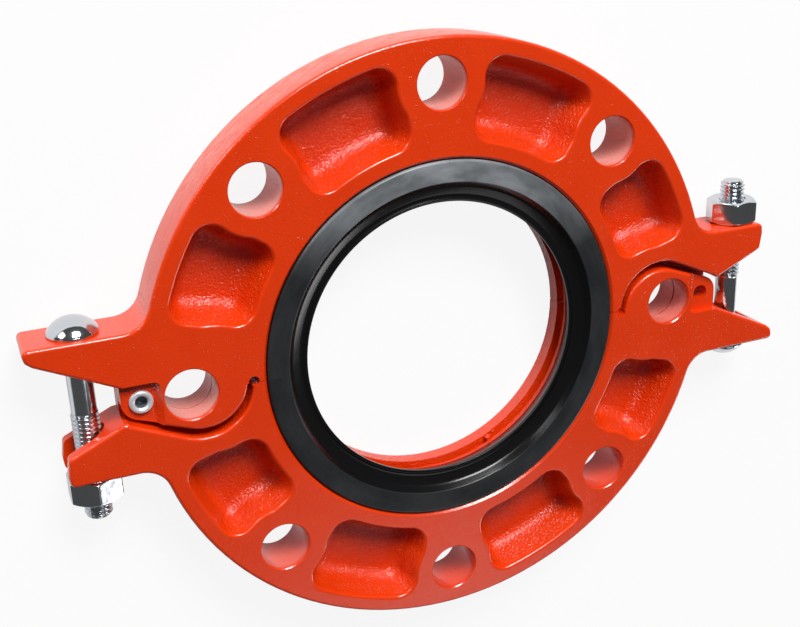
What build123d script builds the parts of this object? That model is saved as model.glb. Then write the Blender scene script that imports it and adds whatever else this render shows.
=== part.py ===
import math
import os

from build123d import *

os.makedirs("parts", exist_ok=True)

# Heights above the surface that the ring lies on, in mm. The gasket side faces up.
front_z = 25.0
rim_back_z = 5.0
lap_z = 15.0
lap_slit = 0.7

# Gasket ring: its outside, then how far each line of its section lies inwards of that
gasket_radius = 68.6
gasket_band = 8.2
gasket_lip_reach = 15.9
gasket_lip_drop = 4.7
gasket_heel_reach = 12.6
gasket_heel_rise = 2.0
gasket_floor_reach = 8.6
gasket_edge = 0.9
gasket_proud = 0.3
gasket_back_gap = 0.3
gasket_side_gap = 0.4

# Bore, inwards from the gasket recess: narrow land, relief groove, key lip
recess_radius = gasket_radius + gasket_side_gap
recess_floor_z = 10.0
recess_edge = 0.9
land_radius = recess_radius - 11.0
groove_radius = land_radius + 3.0
key_radius = land_radius - 2.0
key_height = 5.6
groove_top_z = key_height + 2.0
groove_rib_angle = 115.0
groove_rib_width = 1.8

# Flange bolt holes, and the ring around them
hole_count = 8
hole_radius = 9.2
hole_bevel = 0.4
bolt_circle_radius = recess_radius + 26.25
rim_radius = bolt_circle_radius + 15.75
hub_radius = recess_radius + 7.0
hub_draft = 12.0
seam_gap = 0.3
edge_round = 1.3
back_edge_round = 1.0

# Pockets in the front face
pocket_inner_radius = recess_radius + 6.2
pocket_outer_radius = rim_radius - 6.0
pocket_depth = 12.6
pocket_draft = 17.0
pocket_corner = 7.0
pocket_floor_round = 5.0
pocket_mouth_round = 1.3
boss_radius = hole_radius + 7.0
boss_inner_angle = 8.2
boss_outer_angle = 9.0
seam_boss_radius = 23.6
seam_boss_x = bolt_circle_radius - 6.75
seam_inner_angle = 14.6
seam_outer_angle = 15.0

# Hinge rivet
rivet_radius = 3.0
rivet_clearance = 0.05
rivet_roll_radius = 4.15
rivet_roll_height = 1.5
rivet_hollow_radius = 2.2
rivet_hollow_depth = 5.0
rivet_head_radius = 5.0
rivet_head_height = 1.9
rivet_end_gap = 0.1

# Half lap joint: a lobe around the seam bolt hole and an eye around the hinge hole
lobe_centre_x = bolt_circle_radius - 4.05
lobe_centre_y = 2.0
lobe_radius = hole_radius + 6.6
hinge_x = rim_radius + 1.0
eye_radius = rivet_radius + 3.7
lap_gap = 1.6
lap_room_y = 0.5
relief_radius = 1.9
relief_x = lobe_centre_x - lobe_radius - relief_radius
relief_y = 0.5
step_depth = 3.0
step_x = hinge_x - eye_radius - 0.2
step_y = eye_radius + 0.5
step_corner = 3.0
step_margin = 0.3
step_round = 1.5

# Closure bolts and nuts
thread_radius = 4.75
shank_radius = 4.3
bolt_length = 68.0
thread_start = 27.5
bolt_end_bevel = 0.9
head_radius = 8.7
head_height = 6.0
head_edge = 0.9
head_edge_round = 0.35
neck_length = 3.5
neck_half = 5.5
seat_gap = 0.05
bolt_swing = 22.5
nut_flats = 17.5
nut_height = 9.2
nut_clearance = 0.15
nut_bevel_angle = 30.0
nut_bevel_share = 0.96
nut_mouth_bevel = 0.5
left_nut_turn = 0.0
right_nut_turn = -23.0

# Closure lugs
closure_x = rim_radius + 19.0
closure_z = (front_z + rim_back_z) / 2
lug_face_y = 25.6
lug_root_depth = 21.0
lug_fillet = 10.0
lug_corner = 2.0
head_lug_tip_x = closure_x + 17.8
head_lug_tip_height = 6.2
head_lug_edge_height = 4.4
head_lug_edge_lean = 1.0
head_lug_corner_lean = 3.2
head_lug_root_y = eye_radius + 0.15
nut_lug_tip_x = closure_x + 8.8
nut_lug_tip_height = 10.6
nut_lug_edge_height = 4.0
nut_lug_corner_lean = 0.9
nut_lug_edge_lean = 0.4
nut_lug_root_y = eye_radius - 0.4
slot_width = 2 * thread_radius + 1.5
slot_centre_x = closure_x - 0.3
swing_room = 0.55
neck_room = 0.4


def polar(radius, angle):
    return (radius * math.cos(math.radians(angle)), radius * math.sin(math.radians(angle)))


def seam_half():
    """Everything on the upper side of the seam, as a large rectangle."""
    side = 4 * rim_radius
    return Pos(0, side / 2 + seam_gap / 2) * Rectangle(side, side)


def lap_outline(side, centre_y, grow):
    """Lobe circle and hinge eye joined by their outer tangents, seen from the front."""
    lobe = Pos(side * lobe_centre_x, centre_y) * Circle(lobe_radius + grow)
    eye = Pos(side * hinge_x, 0) * Circle(eye_radius + grow)
    return make_hull(lobe.edges() + eye.edges())


def lap_room(side):
    """Room cut for the lobe of the other casting, widest at the top of that lobe."""
    return lap_outline(side, -lap_room_y, lap_gap)


def smooth(outline, radius):
    """Round the outward corners of a flat outline."""
    return offset(offset(outline, -radius, kind=Kind.ARC), radius, kind=Kind.ARC)


def head_lug():
    """Long tapering lug on the left, closed around its bolt."""
    root_x = rim_radius - lug_root_depth
    return Polygon(
        (-root_x, lug_face_y),
        (-head_lug_tip_x, lug_face_y),
        (head_lug_edge_lean - head_lug_tip_x, lug_face_y - head_lug_edge_height),
        (head_lug_corner_lean - head_lug_tip_x, lug_face_y - head_lug_tip_height),
        (-hinge_x - eye_radius, head_lug_root_y),
        (-root_x, head_lug_root_y),
        align=None,
    )


def nut_lug():
    """Blunt lug on the right, open at its end for the bolt to swing in."""
    root_x = rim_radius - lug_root_depth
    return Polygon(
        (root_x, lug_face_y),
        (root_x, nut_lug_root_y),
        (hinge_x + eye_radius, nut_lug_root_y),
        (nut_lug_tip_x - nut_lug_corner_lean, lug_face_y - nut_lug_tip_height),
        (nut_lug_tip_x, lug_face_y - nut_lug_edge_height),
        (nut_lug_tip_x - nut_lug_edge_lean, lug_face_y),
        align=None,
    )


def half_plan():
    """Upper half of the ring with both lugs, before the laps are added or cut."""
    disc = Circle(rim_radius) & seam_half()
    plan = (disc + head_lug() + nut_lug()) & seam_half()
    tips = [v for v in plan.vertices() if abs(v.X) > nut_lug_tip_x - lug_corner]
    plan = fillet(tips, lug_corner)
    root_x = math.sqrt(rim_radius**2 - lug_face_y**2)
    roots = [v for v in plan.vertices() if abs(abs(v.X) - root_x) < 0.5 and abs(v.Y - lug_face_y) < 0.5]
    return fillet(roots, lug_fillet)


def own_lobe(side):
    """Lobe that belongs to this casting, its eye blended straight up into the lug."""
    root_y = head_lug_root_y if side < 0 else nut_lug_root_y
    cheek = Pos(side * (hinge_x + eye_radius / 2), root_y / 2) * Rectangle(eye_radius, root_y)
    return lap_outline(side, lobe_centre_y, 0) + cheek


def relief(side, offset_y):
    return Pos(side * relief_x, offset_y) * Circle(relief_radius)


def slab(plan, low, high):
    return extrude(Pos(0, 0, low) * plan, amount=high - low)


def front_layer(plan):
    """Front half of the thickness: own lobe on the left, room for the other lobe on the right."""
    outline = plan + own_lobe(-1) - lap_room(1)
    solid = slab(outline, lap_z + lap_slit / 2, front_z)
    return fillet([e for e in solid.edges() if on_level(e, front_z) and not on_seam(e)], edge_round)


def back_layer(plan):
    """Back half of the thickness: own lobe on the right, room for the other lobe on the left."""
    high = lap_z - lap_slit / 2
    outline = plan + own_lobe(1) - lap_room(-1)
    solid = slab(outline, rim_back_z, high)
    return fillet([e for e in solid.edges() if on_level(e, rim_back_z) and not on_seam(e)], back_edge_round)


def middle_layer(plan):
    """Thin layer between the laps, where only the shared body is solid."""
    outline = plan - lap_room(1) - lap_room(-1)
    return slab(outline, lap_z - lap_slit / 2, lap_z + lap_slit / 2)


def relief_cuts():
    """Round reliefs at the roots of the laps, each through its own half of the thickness."""
    front = [slab(relief(side, -side * relief_y), lap_z - lap_slit / 2, front_z + 1) for side in (1, -1)]
    back = [slab(relief(side, side * relief_y), -1, lap_z + lap_slit / 2) for side in (1, -1)]
    return front + back


def on_level(edge, level):
    box = edge.bounding_box()
    return abs(box.min.Z - level) < 0.01 and abs(box.max.Z - level) < 0.01


def on_seam(edge):
    box = edge.bounding_box()
    straight = box.max.Y - box.min.Y < 0.01
    return straight and abs(abs(edge.center().Y) - seam_gap / 2) < 0.02


def hub():
    ring = extrude(Pos(0, 0, rim_back_z) * Circle(hub_radius), amount=-rim_back_z, taper=hub_draft)
    return ring & slab(seam_half(), 0, rim_back_z)


def bore_cut():
    """Everything turned out of the bore, as one revolved profile."""
    profile = Polygon(
        (0, -1),
        (key_radius, -1),
        (key_radius, key_height),
        (groove_radius, key_height),
        (groove_radius, groove_top_z),
        (land_radius, groove_top_z),
        (land_radius, recess_floor_z),
        (recess_radius, recess_floor_z),
        (recess_radius, front_z - recess_edge),
        (recess_radius + 2 * recess_edge, front_z + recess_edge),
        (0, front_z + recess_edge),
        align=None,
    )
    return revolve(Plane.XZ * profile, Axis.Z)


def groove_rib():
    """Small cast rib that bridges the relief groove."""
    sink = 0.5
    length = groove_radius - key_radius
    rib = Box(length, groove_rib_width, groove_top_z - key_height + sink)
    rib = Pos(groove_radius + sink - length / 2, 0, (groove_top_z + key_height) / 2) * rib
    return Rot(0, 0, groove_rib_angle) * rib


def hole_tool(x, y):
    shaft = Pos(x, y, front_z / 2) * Cylinder(hole_radius, 2 * front_z)
    bevel = Cone(hole_radius, hole_radius + 2 * hole_bevel, 2 * hole_bevel)
    front = Pos(x, y, front_z) * bevel
    back = Pos(x, y, rim_back_z) * Rot(180, 0, 0) * bevel
    return shaft + front + back


def bolt_holes():
    spots = [polar(bolt_circle_radius, 360 / hole_count * k) for k in range(hole_count)]
    return [hole_tool(x, y) for x, y in spots]


def pocket_outline(first, last, extra):
    """Four-sided pocket: two corners inside, two outside, scooped around its neighbours."""
    spare = 3.0
    corners = [
        polar(pocket_inner_radius - spare, first[0]),
        polar(pocket_outer_radius + spare, first[1]),
        polar(pocket_outer_radius + spare, last[1]),
        polar(pocket_inner_radius - spare, last[0]),
    ]
    outline = Polygon(*corners, align=None) & (Circle(pocket_outer_radius) - Circle(pocket_inner_radius))
    for x, y, radius in extra:
        outline = outline - Pos(x, y) * Circle(radius)
    return smooth(outline, pocket_corner)


def between_holes(left_angle, right_angle):
    """Pocket between two bolt holes, its angles in degrees round the ring."""
    first = (right_angle + boss_inner_angle, right_angle + boss_outer_angle)
    last = (left_angle - boss_inner_angle, left_angle - boss_outer_angle)
    bosses = [polar(bolt_circle_radius, a) + (boss_radius,) for a in (left_angle, right_angle)]
    return pocket_outline(first, last, bosses)


def beside_seam(side):
    """Pocket between the seam and the first full bolt hole, on the right for side 1."""
    hole_angle = 360 / hole_count
    seam_side = (seam_inner_angle, seam_outer_angle)
    hole_side = (hole_angle - boss_inner_angle, hole_angle - boss_outer_angle)
    if side > 0:
        first, last = seam_side, hole_side
    else:
        first = (180 - hole_side[0], 180 - hole_side[1])
        last = (180 - seam_side[0], 180 - seam_side[1])
        hole_angle = 180 - hole_angle
    bosses = [polar(bolt_circle_radius, hole_angle) + (boss_radius,), (side * seam_boss_x, 0, seam_boss_radius)]
    return pocket_outline(first, last, bosses)


def pocket_tool(outline):
    """Drafted pocket with a rounded floor."""
    body = extrude(Pos(0, 0, front_z) * outline, amount=-pocket_depth, taper=pocket_draft)
    floor = [e for e in body.edges() if on_level(e, front_z - pocket_depth)]
    return fillet(floor, pocket_floor_round)


def mouth_edges(body):
    """Front edges of the pockets, where a drafted wall meets the front face."""
    tilt = math.sin(math.radians(pocket_draft))
    walls = [f for f in body.faces() if abs(abs(f.normal_at(None).Z) - tilt) < 0.02]
    return [e for f in walls for e in f.edges() if on_level(e, front_z)]


def eye_step(side, face_z, floor_z, keep_radius):
    """Sunk face of one eye, its side towards the bolt hole a ramp that clears the rivet."""
    reach = rim_radius / 3
    above = 2 * face_z - floor_z
    foot_x = hinge_x - keep_radius - step_margin
    ramp = Polygon(
        (side * step_x, face_z),
        (side * foot_x, floor_z),
        (side * (step_x + reach), floor_z),
        (side * (step_x + reach), above),
        (side * step_x, above),
        align=None,
    )
    cut = extrude(Plane.XZ * ramp, amount=2 * reach, both=True)
    foot = [e for e in cut.edges() if on_level(e, floor_z) and abs(e.center().X - side * foot_x) < 0.01]
    cut = fillet(foot, step_round)
    corner = Pos(side * (step_x + reach / 2), step_y - reach / 2) * RectangleRounded(reach, reach, step_corner)
    return cut & slab(corner, min(floor_z, above), max(floor_z, above))


def eye_steps():
    """Steps that lower the face of each eye around the hinge rivet, one in front and one at the back."""
    front = eye_step(-1, front_z, front_z - step_depth, rivet_roll_radius)
    back = eye_step(1, rim_back_z, rim_back_z + step_depth, rivet_head_radius)
    return [front, back]


def slot_tool():
    """Open slot of the nut lug with a round inner end."""
    reach = 2 * (nut_lug_tip_x - closure_x)
    end = Circle(slot_width / 2)
    outline = end + Pos(reach / 2, 0) * Rectangle(reach, slot_width)
    return along_y(extrude(outline, amount=-lug_face_y - 2), slot_centre_x, lug_face_y + 1)


def head_hole_tool():
    """Closed bolt hole of the head lug, flared outwards so that the bolt can swing."""
    room = thread_radius + swing_room
    lean = math.tan(math.radians(bolt_swing))
    drop = lug_face_y - head_lug_root_y
    inner_x = closure_x - neck_half - neck_room
    outer_x = closure_x + neck_half + swing_room
    outline = Polygon(
        (-inner_x, lug_face_y + 1),
        (-outer_x, lug_face_y + 1),
        (-outer_x, lug_face_y),
        (-outer_x - lean * drop, head_lug_root_y),
        (-inner_x, head_lug_root_y),
        align=None,
    )
    return extrude(Pos(0, 0, closure_z - room) * outline, amount=2 * room)


def upper_casting():
    plan = half_plan()
    body = front_layer(plan) + middle_layer(plan) + back_layer(plan) + hub()
    body = body - relief_cuts()
    hole_step = 360 / hole_count
    body = body - [pocket_tool(between_holes(hole_step * (k + 1), hole_step * k)) for k in (1, 2)]
    body = body - [pocket_tool(beside_seam(side)) for side in (1, -1)]
    body = fillet(mouth_edges(body), pocket_mouth_round)
    body = body - bore_cut()
    body = body + groove_rib()
    body = body - bolt_holes()
    body = body - eye_steps()
    hinge_hole = Cylinder(rivet_radius + rivet_clearance, 4 * front_z)
    body = body - [Pos(-hinge_x, 0) * hinge_hole, Pos(hinge_x, 0) * hinge_hole]
    return body - slot_tool() - head_hole_tool()


def hinge_rivet():
    """Rolled rivet: domed head at the back, rolled and hollow end in the front step."""
    floor_z = front_z - step_depth + rivet_end_gap
    top_z = floor_z + rivet_roll_height
    back_z = rim_back_z + step_depth - rivet_end_gap
    shank = Pos(0, 0, (floor_z + back_z) / 2) * Cylinder(rivet_radius, floor_z - back_z)
    roll = Pos(0, 0, floor_z + rivet_roll_height / 2) * Cylinder(rivet_roll_radius, rivet_roll_height)
    roll = fillet(roll.edges().group_by(Axis.Z)[-1], rivet_roll_height * 0.6)
    head = Pos(0, 0, back_z - rivet_head_height / 2) * Cylinder(rivet_head_radius, rivet_head_height)
    head = fillet(head.edges().group_by(Axis.Z)[0], rivet_head_height * 0.7)
    body = shank + roll + head
    hollow = Pos(0, 0, top_z - rivet_hollow_depth / 2) * Cylinder(rivet_hollow_radius, rivet_hollow_depth)
    body = body - hollow
    rims = [e for e in body.edges() if on_level(e, top_z) and e.length < 2 * math.pi * rivet_hollow_radius + 0.5]
    body = chamfer(rims, 0.4)
    return Pos(-hinge_x, 0, 0) * body


def gasket_ring():
    """Rubber ring: flat face band, hollow slope down to the lip, heel against the recess floor."""
    face_z = front_z + gasket_proud
    floor_z = recess_floor_z + gasket_back_gap
    band = (gasket_radius - gasket_band, face_z)
    lip = (gasket_radius - gasket_lip_reach, front_z - gasket_lip_drop)
    lip_top = (lip[0] + gasket_edge / 3, lip[1] + gasket_edge / 2)
    hollow = ((band[0] + lip[0]) / 2 + gasket_edge, (band[1] + lip[1]) / 2 - gasket_edge)
    heel = (gasket_radius - gasket_heel_reach, recess_floor_z + gasket_heel_rise)
    foot = (gasket_radius - gasket_floor_reach, floor_z)
    with BuildLine() as outline:
        Line((gasket_radius, floor_z), (gasket_radius, face_z - gasket_edge))
        Line((gasket_radius, face_z - gasket_edge), (gasket_radius - gasket_edge, face_z))
        Line((gasket_radius - gasket_edge, face_z), band)
        ThreePointArc(band, hollow, lip_top)
        Line(lip_top, lip)
        Line(lip, heel)
        Line(heel, foot)
        Line(foot, (gasket_radius, floor_z))
    return revolve(Plane.XZ * make_face(outline.line), Axis.Z)


def along_y(shape, x, y):
    """Stand a shape made along Z on the closure axis, its top towards plus Y."""
    return Pos(x, y, closure_z) * Rot(-90, 0, 0) * shape


def closure_bolt():
    """Round-headed bolt with an oval neck, head seat at height 0 and shank downwards."""
    cap_height = head_height - head_edge
    sphere = (head_radius**2 + cap_height**2) / (2 * cap_height)
    with BuildLine() as outline:
        Line((0, 0), (head_radius, 0))
        Line((head_radius, 0), (head_radius, head_edge))
        RadiusArc((head_radius, head_edge), (0, head_height), -sphere)
        Line((0, head_height), (0, 0))
    head = revolve(Plane.XZ * make_face(outline.line), Axis.Z)
    head = fillet([e for e in head.edges() if on_level(e, head_edge) or on_level(e, 0)], head_edge_round)
    neck_side = Box(2 * neck_half - 2 * shank_radius, 2 * shank_radius, neck_length)
    ends = Cylinder(shank_radius, neck_length)
    reach = neck_half - shank_radius
    neck = neck_side + Pos(reach, 0, 0) * ends + Pos(-reach, 0, 0) * ends
    neck = Pos(0, 0, -neck_length / 2 + 0.01) * neck
    shank = Pos(0, 0, -thread_start / 2) * Cylinder(shank_radius, thread_start)
    thread_length = bolt_length - thread_start
    thread = Pos(0, 0, -thread_start - thread_length / 2) * Cylinder(thread_radius, thread_length)
    thread = chamfer(thread.edges().group_by(Axis.Z)[0], bolt_end_bevel)
    return head + neck + shank + thread


def hex_nut():
    """Heavy hexagon nut, seat at height 0, corners turned off at both faces."""
    corner_radius = nut_flats / math.sqrt(3)
    prism = extrude(RegularPolygon(corner_radius, 6, rotation=30), amount=nut_height)
    edge = nut_flats / 2 * nut_bevel_share
    drop = (corner_radius - edge) * math.tan(math.radians(nut_bevel_angle))
    turned = Polygon(
        (0, 0),
        (edge, 0),
        (corner_radius, drop),
        (corner_radius, nut_height - drop),
        (edge, nut_height),
        (0, nut_height),
        align=None,
    )
    nut = prism & revolve(Plane.XZ * turned, Axis.Z)
    bore = Pos(0, 0, nut_height / 2) * Cylinder(thread_radius + nut_clearance, nut_height + 2)
    nut = nut - bore
    mouth = [e for e in nut.edges() if e.geom_type == GeomType.CIRCLE and e.radius < thread_radius + nut_mouth_bevel]
    return chamfer(mouth, nut_mouth_bevel)


def half_turn(shape):
    return Rot(0, 0, 180) * shape


upper = upper_casting()
left_bolt = along_y(closure_bolt(), -closure_x, lug_face_y + seat_gap)
left_nut = along_y(Rot(0, 0, left_nut_turn) * Rot(180, 0, 0) * hex_nut(), -closure_x, -lug_face_y - seat_gap)
right_nut = along_y(Rot(0, 0, right_nut_turn) * hex_nut(), closure_x, lug_face_y + seat_gap)

nodes = {
    "upper_housing": upper,
    "lower_housing": half_turn(upper),
    "gasket": gasket_ring(),
    "hinge_rivet": hinge_rivet(),
    "left_bolt": left_bolt,
    "right_bolt": half_turn(left_bolt),
    "left_nut": left_nut,
    "right_nut": right_nut,
}

for name, shape in nodes.items():
    export_step(shape, f"parts/{name}.step")
    box = shape.bounding_box()
    print(name, len(shape.solids()), round(shape.volume), box.min, box.max)
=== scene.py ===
import math

import bpy
import mathutils
import numpy as np
from bpy.props import FloatProperty, FloatVectorProperty, IntProperty, PointerProperty
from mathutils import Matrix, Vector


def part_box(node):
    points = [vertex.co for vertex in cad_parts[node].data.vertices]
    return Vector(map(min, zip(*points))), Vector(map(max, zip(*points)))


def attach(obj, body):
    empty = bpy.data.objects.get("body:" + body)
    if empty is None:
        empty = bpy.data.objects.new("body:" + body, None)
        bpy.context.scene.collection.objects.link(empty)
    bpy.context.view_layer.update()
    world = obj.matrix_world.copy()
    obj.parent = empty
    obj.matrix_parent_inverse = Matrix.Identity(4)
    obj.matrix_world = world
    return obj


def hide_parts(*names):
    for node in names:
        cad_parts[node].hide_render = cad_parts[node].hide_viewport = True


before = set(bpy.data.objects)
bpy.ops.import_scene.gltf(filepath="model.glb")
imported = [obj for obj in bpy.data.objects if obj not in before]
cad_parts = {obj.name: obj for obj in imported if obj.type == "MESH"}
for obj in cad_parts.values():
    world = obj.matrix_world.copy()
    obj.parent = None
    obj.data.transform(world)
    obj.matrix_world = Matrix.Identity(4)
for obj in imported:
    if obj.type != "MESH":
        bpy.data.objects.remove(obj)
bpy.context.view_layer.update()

bl_info = {
    "name": "Flange adaptor",
    "version": (1, 0, 0),
    "blender": (4, 5, 0),
    "location": "3D View > Sidebar > Flange adaptor",
    "description": "Dresses the packed flange adaptor: paint, rubber ring, bolts, nuts and stage",
    "category": "Object",
}

MM = 0.001


def node_box(name):
    """Lowest and highest corner of a CAD node, as arrays in metres."""
    low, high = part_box(name)
    return np.array(low), np.array(high)


GASKET_LOW, GASKET_HIGH = node_box("gasket")
RIVET_LOW, RIVET_HIGH = node_box("hinge_rivet")
BOLT_LOW, BOLT_HIGH = node_box("left_bolt")
NUT_LOW, NUT_HIGH = node_box("left_nut")
_, RING_HIGH = node_box("upper_housing")
HOLE_CIRCLE = 95.25 * MM
HOLE_RADIUS = 9.2 * MM
LUG_ROOT = 24 * MM


# Surfaces


def rounded_outline(corners, steps):
    """Outline with its corners turned to arcs.

    corners holds x, y and radius in one row each. An arc of radius r in a corner whose half angle is h
    touches both sides r / tan(h) from the corner, and its centre lies r / sin(h) from it on the bisector.
    """
    corners = np.asarray(corners, float)
    point, radius = corners[:, :2], corners[:, 2:3]
    back = np.roll(point, 1, axis=0) - point
    ahead = np.roll(point, -1, axis=0) - point
    back /= np.linalg.norm(back, axis=1, keepdims=True)
    ahead /= np.linalg.norm(ahead, axis=1, keepdims=True)
    half = 0.5 * np.arccos(np.clip((back * ahead).sum(1, keepdims=True), -1, 1))
    bisector = back + ahead
    bisector /= np.linalg.norm(bisector, axis=1, keepdims=True)
    centre = point + bisector * radius / np.sin(half)
    start = point + back * radius / np.tan(half) - centre
    end = point + ahead * radius / np.tan(half) - centre
    sweep = np.pi - 2 * half
    share = np.linspace(0, 1, steps)[None, :, None]
    first = np.sin((1 - share) * sweep[:, None]) / np.sin(sweep[:, None])
    last = np.sin(share * sweep[:, None]) / np.sin(sweep[:, None])
    arcs = centre[:, None] + first * start[:, None] + last * end[:, None]
    return arcs.reshape(-1, 2)


def smooth_step(value):
    """0 below 0, 1 above 1, and 3 t squared less 2 t cubed between them."""
    value = np.clip(value, 0, 1)
    return value * value * (3 - 2 * value)


def thread_shape(turns, crest, root):
    """Wave of a screw thread with flat crests and roots: 0 in the root, 1 on the crest, once a turn.

    The distance from the middle of the crest, as a share of a turn, is 0 to 0.5. It is level for half the
    crest share, then falls in a smooth step until half the root share is left.
    """
    off = np.abs(turns - np.round(turns))
    return smooth_step((0.5 - root / 2 - off) / (0.5 - root / 2 - crest / 2))


def grid_faces(rows, columns, closed):
    """Quads between neighbouring rows of a grid whose columns run round and meet again."""
    row = np.arange(rows if closed else rows - 1)[:, None]
    column = np.arange(columns)[None]
    here, above = row * columns, (row + 1) % rows * columns
    beside = (column + 1) % columns
    return np.stack([here + column, here + beside, above + beside, above + column], -1).reshape(-1, 4)


def add_surface(name, points, closed, sharp_angle):
    """Mesh object from a grid of points, rows by columns by three.

    The columns run round. closed joins the last row to the first; otherwise a point in the middle of the
    first row and one of the last close the ends. The sum of the faces' tetrahedra to the origin tells
    which way the faces point, and they are turned where it is negative.
    """
    rows, columns = points.shape[:2]
    vertices = points.reshape(-1, 3)
    quads = grid_faces(rows, columns, closed)
    fans = np.empty((0, 3), int)
    if not closed:
        ends = np.stack([points[0].mean(0), points[-1].mean(0)])
        low, high = len(vertices), len(vertices) + 1
        vertices = np.concatenate([vertices, ends])
        column = np.arange(columns)
        beside = (column + 1) % columns
        last = (rows - 1) * columns
        fans = np.concatenate([
            np.stack([np.full(columns, low), beside, column], -1),
            np.stack([np.full(columns, high), last + column, last + beside], -1),
        ])
    triangles = np.concatenate([quads[:, :3], quads[:, [0, 2, 3]], fans])
    a, b, c = (vertices[triangles[:, i]] for i in range(3))
    if (a * np.cross(b, c)).sum() < 0:
        quads, fans = quads[:, ::-1], fans[:, ::-1]
    mesh = bpy.data.meshes.new(name)
    mesh.from_pydata(vertices.tolist(), [], quads.tolist() + fans.tolist())
    mesh.validate()
    mesh.shade_smooth()
    mesh.set_sharp_from_angle(angle=math.radians(sharp_angle))
    piece = bpy.data.objects.new(name, mesh)
    bpy.context.scene.collection.objects.link(piece)
    return piece


def revolved(outline, columns, centre):
    """Outline of radius and height carried round an upright axis through centre."""
    angle = np.linspace(0, 2 * np.pi, columns, endpoint=False)
    radius, height = outline[:, 0, None], outline[:, 1, None]
    return np.stack([
        centre[0] + radius * np.cos(angle),
        centre[1] + radius * np.sin(angle),
        height + 0 * angle,
    ], -1)


def on_closure_axis(radius, angle, height, seat, upward):
    """Points of a piece turned about a closure axis, which runs along Y.

    height counts from the seat towards plus Y where upward is 1, and towards minus Y where it is -1, which
    is the same piece turned half a turn about Z.
    """
    x, z = radius * np.cos(angle), -radius * np.sin(angle)
    y = height + 0 * radius
    return np.stack([seat[0] + upward * x, seat[1] + upward * y, seat[2] + z], -1)


# Materials


def add_node(tree, kind, **values):
    """New node with its settings by name, and with input values where the name starts with in_."""
    node = tree.nodes.new(kind)
    for key, value in values.items():
        if key.startswith("in_"):
            node.inputs[key[3:].replace("_", " ")].default_value = value
        else:
            setattr(node, key, value)
    return node


def new_group(name, inputs, outputs):
    """Node group with its inputs and outputs by name. Returns it and its two end nodes."""
    group = bpy.data.node_groups.new(name, "ShaderNodeTree")
    for label, kind, value in inputs:
        socket = group.interface.new_socket(name=label, in_out="INPUT", socket_type=kind)
        if value is not None:
            socket.default_value = value
    for label, kind in outputs:
        group.interface.new_socket(name=label, in_out="OUTPUT", socket_type=kind)
    return group, group.nodes.new("NodeGroupInput"), group.nodes.new("NodeGroupOutput")


def math_node(tree, operation, first, second=None, clamp=False):
    """Math node whose operands are sockets or numbers. Returns its output."""
    node = add_node(tree, "ShaderNodeMath", operation=operation, use_clamp=clamp)
    for socket, value in zip(node.inputs, (first, second)):
        if isinstance(value, bpy.types.NodeSocket):
            tree.links.new(value, socket)
        elif value is not None:
            socket.default_value = value
    return node.outputs[0]


def chain(tree, operation, result, *values):
    """Math nodes that take one value after the other into the result, for a sum or a product."""
    for value in values:
        result = math_node(tree, operation, result, value)
    return result


def cast_skin_group():
    """Skin of a painted casting: flowing waves of the paint, grit of the moulding sand and single specks.

    Height is the sum of two noises, each centred on zero and multiplied by its depth in metres, and of
    specks: a noise that rises from its threshold in a smooth step, multiplied by the speck depth.
    Cloud is a slow noise from 0 to 1 for colour and gloss.
    """
    group, start, end = new_group(
        "cast_skin",
        [("Vector", "NodeSocketVector", None), ("Wave Size", "NodeSocketFloat", 0.003),
         ("Wave Depth", "NodeSocketFloat", 0.00005), ("Grit Size", "NodeSocketFloat", 0.0008),
         ("Grit Depth", "NodeSocketFloat", 0.00002), ("Speck Size", "NodeSocketFloat", 0.0008),
         ("Speck Depth", "NodeSocketFloat", 0.0)],
        [("Height", "NodeSocketFloat"), ("Cloud", "NodeSocketFloat")],
    )
    noises = {}
    for label, detail in (("Wave", 1.5), ("Grit", 2.0), ("Speck", 0.5)):
        scale = math_node(group, "DIVIDE", 1.0, start.outputs[label + " Size"])
        noise = add_node(group, "ShaderNodeTexNoise", in_Detail=detail, in_Roughness=0.5)
        group.links.new(start.outputs["Vector"], noise.inputs["Vector"])
        group.links.new(scale, noise.inputs["Scale"])
        noises[label] = noise.outputs["Fac"]
    waves, grit = (
        chain(group, "MULTIPLY", math_node(group, "SUBTRACT", noises[label], 0.5),
              start.outputs[label + " Depth"])
        for label in ("Wave", "Grit")
    )
    threshold, full = 0.64, 0.74
    specks = add_node(group, "ShaderNodeMapRange", interpolation_type="SMOOTHSTEP", in_From_Min=threshold,
                      in_From_Max=full, in_To_Min=0.0, in_To_Max=1.0)
    group.links.new(noises["Speck"], specks.inputs["Value"])
    specks = math_node(group, "MULTIPLY", specks.outputs["Result"], start.outputs["Speck Depth"])
    group.links.new(chain(group, "ADD", waves, grit, specks), end.inputs["Height"])
    clouds_per_metre = 55.0
    cloud = add_node(group, "ShaderNodeTexNoise", in_Scale=clouds_per_metre, in_Detail=3.0)
    group.links.new(start.outputs["Vector"], cloud.inputs["Vector"])
    group.links.new(cloud.outputs["Fac"], end.inputs["Cloud"])
    return group


def new_material(name):
    """Material with a Principled shader. Returns it, its tree, the shader and the object coordinates."""
    material = bpy.data.materials.new(name)
    material.use_nodes = True
    tree = material.node_tree
    shader = tree.nodes["Principled BSDF"]
    place = add_node(tree, "ShaderNodeTexCoord").outputs["Object"]
    return material, tree, shader, place


def linear_colour(tree, fac, low, high):
    """Mix from one colour to another by a value from 0 to 1. Returns the colour socket."""
    ramp = add_node(tree, "ShaderNodeValToRGB")
    ramp.color_ramp.elements[0].color = (*low, 1)
    ramp.color_ramp.elements[1].color = (*high, 1)
    tree.links.new(fac, ramp.inputs["Fac"])
    return ramp.outputs["Color"]


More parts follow.
